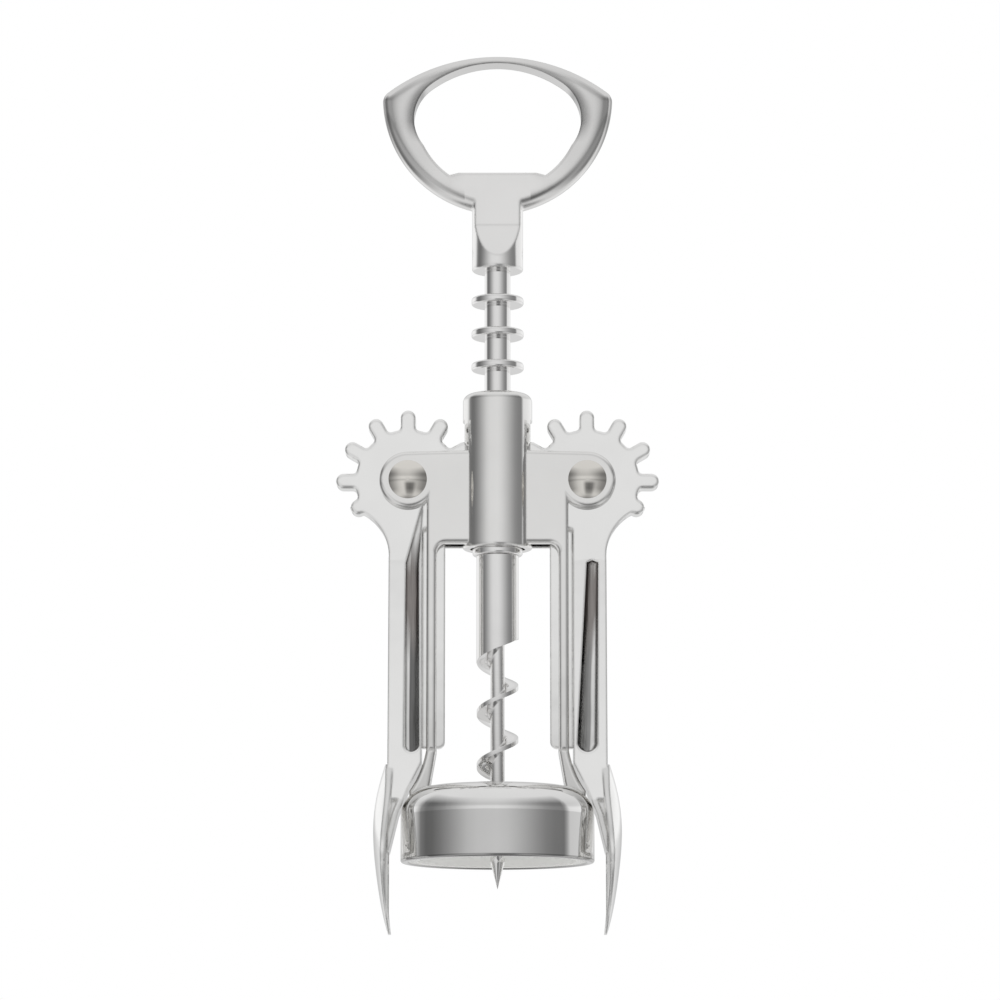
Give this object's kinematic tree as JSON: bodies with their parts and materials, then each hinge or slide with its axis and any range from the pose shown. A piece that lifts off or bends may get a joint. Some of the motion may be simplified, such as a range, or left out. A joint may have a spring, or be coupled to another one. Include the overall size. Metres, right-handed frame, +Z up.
{
  "type": "wing corkscrew",
  "caption": "Chromed wing corkscrew with two geared levers, a ringed rack spindle, a helical worm, a bottle bell and a cap-opener handle.",
  "frame": {"origin": "centre of the bell's rim, the circle that sits lowest round a bottle's neck", "axes": "+Z up along the spindle to the handle, +X towards the right lever, +Y to the back; levers swing in the XZ plane"},
  "size_m": [0.0658, 0.039, 0.1816],
  "materials": {
    "cast_chrome": "bright chrome on zinc casting",
    "pressed_chrome": "mirror chrome on pressed steel",
    "turned_chrome": "bright chrome on turned steel",
    "rivet_steel": "polished, slightly warm",
    "liner_plastic": "satin white"
  },
  "bodies": {
    "frame": {"frame": "cast_chrome", "bell": "pressed_chrome", "bell_liner": "liner_plastic", "left_rivet": "rivet_steel", "right_rivet": "rivet_steel"},
    "left_lever": {"left_lever": "cast_chrome"},
    "right_lever": {"right_lever": "cast_chrome"},
    "collar": {"spindle_collar": "turned_chrome"},
    "spindle": {"rack_spindle": "turned_chrome", "worm": "turned_chrome", "handle": "cast_chrome", "handle_pin": "turned_chrome"}
  },
  "joints": [
    {"name": "left_lever_swing", "type": "hinge", "parent": "frame", "child": "left_lever", "pos_m": [-0.01825, 0, 0.0776], "axis": [0, 1, 0], "range_deg": [0, 108]},
    {"name": "right_lever_swing", "type": "hinge", "parent": "frame", "child": "right_lever", "pos_m": [0.01825, 0, 0.0776], "axis": [0, -1, 0], "range_deg": [0, 108]},
    {"name": "rack_slide", "type": "slide", "parent": "frame", "child": "collar", "axis": [0, 0, -1], "range_m": [0, 0.02466]},
    {"name": "spindle_spin", "type": "hinge", "parent": "collar", "child": "spindle", "pos_m": [0, 0, 0.065], "axis": [0, 0, -1], "continuous": true}
  ],
  "couplings": [
    {"joint": "right_lever_swing", "follows": "left_lever_swing", "ratio": 1},
    {"joint": "rack_slide", "follows": "left_lever_swing", "m_per_rad": 0.013083}
  ]
}
